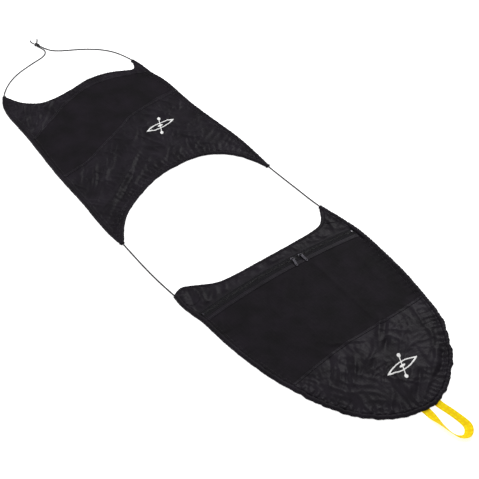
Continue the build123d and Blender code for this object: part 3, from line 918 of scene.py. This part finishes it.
# %% [markdown]
# ## Hems
# A hem is cloth rolled over the cord and stitched. Where elastic runs inside, the cloth is longer than
# the cord and stands in small gathers, so the ring swells and pinches along its length. The underside
# is flat on the floor. Plain hems are lower and only ripple.

# %% Hems


def hem_rings(line, wide, tall, gather, pitch, seed, inset, side):
    """Rings of a rolled hem along a line, pinched by gathers; inset moves it towards the cloth."""
    places = np.column_stack([line, np.zeros(len(line))])
    left, _ = side_and_up(unit(np.gradient(places, axis=0)))
    travel = np.arange(len(line)) * LINE_STEP
    pinch = pleats(travel, pitch, seed)
    flutter = noise(travel / 21 + seed, travel * 0 + 2.5)
    turn = np.linspace(0, 2 * pi, 20, endpoint=False)
    across = np.sign(np.cos(turn)) * np.abs(np.cos(turn)) ** 0.75
    upward = np.where(np.sin(turn) > 0, np.sin(turn), 0.45 * np.sin(turn))
    swell = 1 + gather * pinch[:, None] * (0.35 + 0.65 * np.clip(np.sin(turn), 0, 1))[None, :]
    swell = swell + 0.6 * gather * flutter[:, None] * np.cos(turn)[None, :]
    ruffled = smooth(540, 720, line[:, 0])
    sway = 5.5 * noise(travel / 40 + seed, travel * 0 + 6.5) + 4.4 * noise(travel / 19, travel * 0 + seed)
    wobble = side * inset + 7.2 * gather * flutter + ruffled * sway
    out = left[:, None] * (wide / 2 * across[None, :, None] * swell[..., None] + wobble[:, None, None])
    height = tall * 0.31 + tall * 0.69 * upward[None, :] * swell
    rings = places[:, None] + out
    rings[..., 2] = np.maximum(height, 0.15)
    return rings * MM


HEM_SHAPES = {
    "front_rim": ("front_rim_hem", "front_deck", 15.0, 9.5, 0.13, 13.0, 1.5),
    "front_waist": ("front_waist_hem", "front_deck", 12.0, 5.2, 0.08, 17.0, 2.0),
    "side_left": ("side_hem_left", "rear_deck", 15.0, 9.0, 0.09, 17.0, 1.5),
    "side_right": ("side_hem_right", "rear_deck", 15.0, 9.0, 0.08, 17.0, 1.5),
    "rear_waist": ("rear_waist_hem", "rear_deck", 15.5, 9.0, 0.16, 9.0, 2.0),
    "rear_edge": ("rear_edge_hem", "rear_deck", 12.0, 5.6, 0.13, 12.0, 2.0),
}
for number, (name, shape) in enumerate(HEM_SHAPES.items()):
    node_name, body, wide, tall, gather, pitch, inset = shape
    line, side = HEMS[name][0], HEMS[name][5]
    hem = ring_mesh(node_name + "_cloth", hem_rings(line, wide, tall, gather, pitch, number, inset, side))
    dress(hem, hem_nylon)
    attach(hem, body)
    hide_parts(node_name)
    print(node_name, "has", len(hem.data.vertices), "points")
for name in ("front_rim_cord", "side_hem_cord_left", "side_hem_cord_right", "rear_waist_elastic"):
    dress(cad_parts[name], cord_sleeve)

# %% [markdown]
# ## Seams and stitches
# Panels are joined by flat-felled seams: the edges are folded into each other and sewn down twice,
# which leaves a band 8 or 9 mm wide, a little proud of the cloth. Hems have one row of stitches along
# their inner side. Each stitch is a short bar of thread, 3.2 mm long with a 1.2 mm gap, laid on the
# height of the cloth under it.

# %% Seam bands


def zip_line(offset):
    """The zip's arc, or one beside it."""
    y = np.arange(300.0, -300.0, -LINE_STEP)
    return np.stack([ZIP_X + offset + (y - ZIP_Y) ** 2 / (2 * ZIP_R), y], 1)


REAR_ROUND = ("side_left", "rear_edge", "side_right", "rear_waist")  # in the order that goes round the deck


def clear_of_hems(line, hems, room):
    """The part of a line that is inside the deck and clear of its hems."""
    if hems == FRONT_HEMS:
        edges = [HEMS["front_rim"][0], HEMS["front_waist"][0]]
    else:
        left, edge, right, waist = (HEMS[name][0] for name in REAR_ROUND)
        edges = [left, edge, right[::-1], waist]
    ring = np.vstack(edges)
    keep = inside(line[:, 0], line[:, 1], ring)
    for name in hems:
        keep &= nearest(line[:, 0], line[:, 1], HEMS[name][0])[0] > room
    return line[keep]


def sideways(line, distance):
    """A line shifted to its left."""
    ahead = unit(np.gradient(line, axis=0))
    return line + distance * np.stack([-ahead[:, 1], ahead[:, 0]], 1)


def on_cloth(line, shine, lift):
    return np.column_stack([line, lie(line[:, 0], line[:, 1], shine) + lift])


def ribbon(name, line, wide, tall, shine, lift, columns=7):
    """A band of folded cloth that follows the lie of the panel, rounded over its width."""
    offsets = np.linspace(-wide / 2, wide / 2, columns)
    crown = tall * (1 - (2 * offsets / wide) ** 4)
    rows = [on_cloth(sideways(line, offset), shine, lift + rise) for offset, rise in zip(offsets, crown)]
    top = np.stack(rows, 1)
    bottom = top[:, ::-1].copy()
    bottom[..., 2] -= 0.7 + crown[::-1][None, :]
    return ring_mesh(name, np.concatenate([top, bottom], 1) * MM)


def stitches(name, line, shine, lift, length=3.2, gap=1.2, thick=0.55):
    """A row of thread bars along a line on the cloth."""
    path = on_cloth(line, shine, lift)
    starts = resample(path, length + gap)
    verts, faces = [], []
    for a, b in zip(starts, starts[1:]):
        run = (b - a) / np.linalg.norm(b - a)
        side = np.cross([0, 0, 1.0], run)
        side /= np.linalg.norm(side)
        up = np.cross(run, side)
        base = len(verts)
        for share, sink in ((0, 0.35), (0.2, 0), (0.8, 0), (1, 0.35)):
            middle = a + run * length * share - up * sink
            for u, v in ((-1, -0.5), (1, -0.5), (0.6, 0.7), (-0.6, 0.7)):
                verts.append(middle + side * u * thick / 2 + up * v * thick / 2)
        for k in range(3):
            i = base + 4 * k
            faces += [(i + j, i + (j + 1) % 4, i + 4 + (j + 1) % 4, i + 4 + j) for j in range(4)]
        faces += [tuple(base + j for j in (3, 2, 1, 0)), tuple(base + 12 + j for j in range(4))]
    return mesh_object(name, np.array(verts) * MM, faces)


SEAMS = {
    "nose_seam": (clear_of_hems(NOSE_LINE, FRONT_HEMS, 9), "front_deck", 9.0, 0.6),
    "facing_seam": (clear_of_hems(zip_line(26), FRONT_HEMS, 9), "front_deck", 8.0, 0.6),
    "band_seam": (clear_of_hems(BAND_LINE, REAR_HEMS, 9), "rear_deck", 9.0, 0.6),
    "middle_seam": (clear_of_hems(MIDDLE_LINE, REAR_HEMS, 9), "rear_deck", 9.0, 0.6),
}
for name, (line, body, wide, shine) in SEAMS.items():
    band = dress(ribbon(name, line, wide, 0.7, shine, 0.5), coated_nylon)
    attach(band, body)
    for row, offset in enumerate((-wide / 2 + 1.6, wide / 2 - 1.6)):
        sewn = dress(stitches(f"{name}_stitches_{row}", sideways(line, offset), shine, 1.3), thread)
        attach(sewn, body)
for name, shape in HEM_SHAPES.items():
    line, side = HEMS[name][0], HEMS[name][5]
    inner = sideways(line, side * 17)
    inner = inner[nearest(inner[:, 0], inner[:, 1], line)[0] > 15]
    body, hems = shape[1], FRONT_HEMS if shape[1] == "front_deck" else REAR_HEMS
    inner = clear_of_hems(inner, hems, 14)
    sewn = dress(stitches(name + "_hem_stitches", inner, 1.0, 0.3), thread)
    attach(sewn, body)
print("seams:", ", ".join(SEAMS))

# %% [markdown]
# ## Zip
# A coil zip closes the front deck's slot. Each side is a woven tape with a nylon monofilament wound
# into a flattened coil along its edge; the two coils sit half a turn out of step, so that they would
# hook together. The tapes are sewn down on both sides. The sliders, their pulls and the end stops keep
# their CAD shapes.

# %% Zip


def zip_place(offset, y, z):
    """A place at an offset from the zip's middle line, in millimetres."""
    lean = (y - ZIP_Y) / ZIP_R
    x = ZIP_X + (y - ZIP_Y) ** 2 / (2 * ZIP_R) + offset * np.cos(lean)
    return np.stack([x, y - offset * np.sin(lean), z + 0 * y], -1)


def write_uv(piece, spots):
    """Gives each vertex its place in the weave, in metres."""
    layer = piece.data.uv_layers.new(name="weave")
    order = np.empty(len(piece.data.loops), int)
    piece.data.loops.foreach_get("vertex_index", order)
    layer.data.foreach_set("uv", np.array(spots, float)[order].ravel())


def zip_tape_mesh(name, near, far):
    """A woven tape that starts under the coil and steps up to lie on the cloth beside it."""
    rim = HEMS["front_rim"][0]
    y = np.arange(330.0, -330.0, -LINE_STEP)
    middle = zip_place(far / 2, y, 0)
    y = y[inside(middle[:, 0], middle[:, 1], np.vstack([rim, HEMS["front_waist"][0]]))
          & (nearest(middle[:, 0], middle[:, 1], rim)[0] > 6)]
    side = np.sign(far)
    across = side * np.array([0.08, 1.4, 2.8, near, 4.2, 6.0, 9.0, 12.0, 13.6, abs(far)])
    crown = np.array([1.88, 1.88, 1.9, 3.1, 3.3, 3.2, 3.15, 3.15, 3.05, 2.7])
    under = np.where(np.abs(across) < near, 1.6, 2.4)
    top = np.stack([zip_place(offset, y, rise) for offset, rise in zip(across, crown)], 1)
    bottom = np.stack([zip_place(offset, y, rise) for offset, rise in zip(across[::-1], under[::-1])], 1)
    rings = np.concatenate([top, bottom], 1)
    if side > 0:
        rings = rings[:, ::-1]
    tape = ring_mesh(name, rings * MM)
    spots = np.stack([rings[..., 1] * MM, rings[..., 0] * MM], -1).reshape(-1, 2)
    write_uv(tape, spots)
    return tape


COIL_PITCH = 1.6
COIL_TOP, COIL_LOW = 4.3, 1.95
COIL_PORT, COIL_STARBOARD = 291.0, -285.0  # y of its two ends


def zip_coil_mesh(name, side):
    """One half of the coil: a wire wound round the tape's edge in flattened turns."""
    wire, steps = 0.36, 14
    y = np.arange(COIL_PORT, COIL_STARBOARD, -COIL_PITCH / steps)
    turn = 2 * pi * (COIL_PORT - y) / COIL_PITCH + (pi if side > 0 else 0)
    reach = 1.6 + 1.45 * np.sign(np.cos(turn)) * np.abs(np.cos(turn)) ** 0.8
    height = (COIL_TOP + COIL_LOW) / 2 + ((COIL_TOP - COIL_LOW) / 2 - wire) * np.sin(turn)
    lean = (y - ZIP_Y) / ZIP_R
    x = ZIP_X + (y - ZIP_Y) ** 2 / (2 * ZIP_R) + side * reach * np.cos(lean)
    places = np.stack([x, y - side * reach * np.sin(lean), height], 1)
    return tube_mesh(name, places * MM, wire * MM, around=6)


for side, word in ((-1, "rear"), (1, "front")):
    tape = dress(zip_tape_mesh(f"zip_tape_{word}_cloth", 3.2, side * 14.0), zip_tape)
    coil = dress(zip_coil_mesh(f"zip_coil_{word}_wire", side), coil_nylon)
    for piece, node_name, slot_name in (
        (tape, f"zip_tape_{word}", "zip_tape"), (coil, f"zip_coil_{word}", "zip_coil"),
    ):
        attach(piece, "front_deck")
        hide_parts(node_name)
    for row, offset in enumerate((5.4, 12.2)):
        line = clear_of_hems(zip_line(side * offset), FRONT_HEMS, 9)
        sewn = dress(stitches(f"zip_{word}_stitches_{row}", line, 0.0, 0.95), thread)
        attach(sewn, "front_deck")
for name in (
    "zip_stop_left", "zip_stop_right", "slider_left", "slider_right", "pull_left", "pull_right",
):
    dress(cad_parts[name], lacquered_zinc)
print("coil turns:", round((COIL_PORT - COIL_STARBOARD) / COIL_PITCH), "each side")

# %% [markdown]
# ## Grab loop
# Flat yellow webbing, 25 mm wide, is sewn under the nose hem by both ends and lies in a loop with one
# turn in it. It is one strap, made as a single mesh in place. A ribbed weave and thicker selvedges show up
# close.

# %% Grab loop
LOOP_STATIONS = [
    ((878, 20, 1.3), (0, 1, 0)), ((896, 20, 1.3), (0, 1, 0)), ((912.5, 20, 1.3), (0, 1, 0)),
    ((945, 25, 1.6), (0, 1, 0)), ((980, 28, 2.4), (0, 1, 0.02)), ((1006, 26, 4.4), (0.3, 1, 0.15)),
    ((1024, 14, 8.0), (0.9, 0.7, 0.35)), ((1034, -5, 11.0), (1, -0.1, 0.5)),
    ((1026, -22, 12.5), (0.7, -0.8, 0.8)), ((1003, -30, 12.0), (0.1, -0.7, 0.9)),
    ((965, -31, 9.5), (0, -0.8, 0.7)), ((935, -28, 4.5), (0, -1, 0.25)),
    ((912.5, -25, 1.3), (0, -1, 0)), ((896, -25, 1.3), (0, -1, 0)), ((878, -25, 1.3), (0, -1, 0)),
]
WEB_WIDE, WEB_THICK = 25.0, 1.8


def webbing(name, stations, per_gap=14, columns=12):
    """A strap through its stations, each a centre and the direction of its width."""
    path = np.array([np.array([centre, wide], float).ravel() for centre, wide in stations])
    rows = np.vstack([through(path, per_gap), path[-1]])
    centre, wide = rows[:, :3], rows[:, 3:]
    ahead = unit(np.gradient(centre, axis=0))
    wide = unit(wide - ahead * (wide * ahead).sum(1)[:, None])
    face = np.cross(ahead, wide)
    across = np.linspace(-0.5, 0.5, columns) * WEB_WIDE
    half = WEB_THICK / 2 * np.where(np.abs(across) > WEB_WIDE / 2 - 2.2, 1.0, 0.82)
    half[[0, -1]] = WEB_THICK / 4
    top = centre[:, None] + wide[:, None] * across[None, :, None] + face[:, None] * half[None, :, None]
    low = centre[:, None] + wide[:, None] * across[None, :, None] - face[:, None] * half[None, :, None]
    rings = np.concatenate([top[:, ::-1], low], 1)
    strap = ring_mesh(name, rings * MM)
    travel = np.concatenate([[0], np.cumsum(np.linalg.norm(np.diff(centre, axis=0), axis=1))])
    along = np.repeat(travel[:, None], 2 * columns, 1)
    around = np.tile(np.concatenate([across[::-1], across]), (len(rows), 1))
    write_uv(strap, np.stack([along, around], -1).reshape(-1, 2) * MM)
    return strap, travel[-1]


loop, loop_length = webbing("grab_loop_webbing", LOOP_STATIONS)
dress(loop, yellow_webbing)
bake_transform(loop)  # its place taken into the mesh
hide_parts("grab_loop", "grab_loop_root")
print("grab loop webbing:", round(loop_length), "mm")

# %% [markdown]
# ## Printed marks
# Each mark is ink on the cloth, so it must follow every fold. Its outline is read off the CAD print,
# filled with a fine grid, and laid 0.35 mm above the cloth.

# %% Printed marks
INK_LIFT, INK_THICK = 0.35, 0.3


def ink_mesh(node_name, body, pitch=2.0):
    """The CAD print's outlines, filled and laid on the cloth."""
    loops = [even_ring(loop, pitch) for loop in top_loops(node_name)]
    low, high = np.vstack(loops).min(0), np.vstack(loops).max(0)
    grid_x, grid_y = np.meshgrid(np.arange(low[0], high[0], pitch), np.arange(low[1], high[1], pitch))
    x, y = grid_x.ravel(), grid_y.ravel()
    away = np.min([nearest(x, y, loop)[0] for loop in loops], 0)
    within = np.sum([inside(x, y, loop) for loop in loops], 0) % 2 == 1
    keep = within & (away > 0.5 * pitch)
    points, borders = [np.stack([x[keep], y[keep]], 1)], []
    for loop in loops:
        start = sum(len(part) for part in points)
        borders += [(start + i, start + (i + 1) % len(loop)) for i in range(len(loop))]
        points.append(loop)
    made = delaunay_2d_cdt([Vector(p) for p in np.concatenate(points)], borders, [], 0, 1e-4)
    spots = np.array([tuple(v) for v in made[0]])
    middles = np.array([spots[list(face)].mean(0) for face in made[2]])
    inked = np.sum([inside(middles[:, 0], middles[:, 1], loop) for loop in loops], 0) % 2 == 1
    faces = [tuple(face) for face, wanted in zip(made[2], inked) if wanted]
    height = lie(spots[:, 0], spots[:, 1], 1.0) + INK_LIFT
    piece = mesh_object(node_name + "_ink", np.column_stack([spots, height]) * MM, faces)
    skin = piece.modifiers.new("thickness", "SOLIDIFY")
    skin.thickness, skin.offset = INK_THICK * MM, -1
    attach(piece, body)
    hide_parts(node_name)
    return dress(piece, print_ink)


for node_name, body in (("front_print", "front_deck"), ("rear_print", "rear_deck")):
    piece = ink_mesh(node_name, body)
    print(node_name, "has", len(piece.data.polygons), "faces")
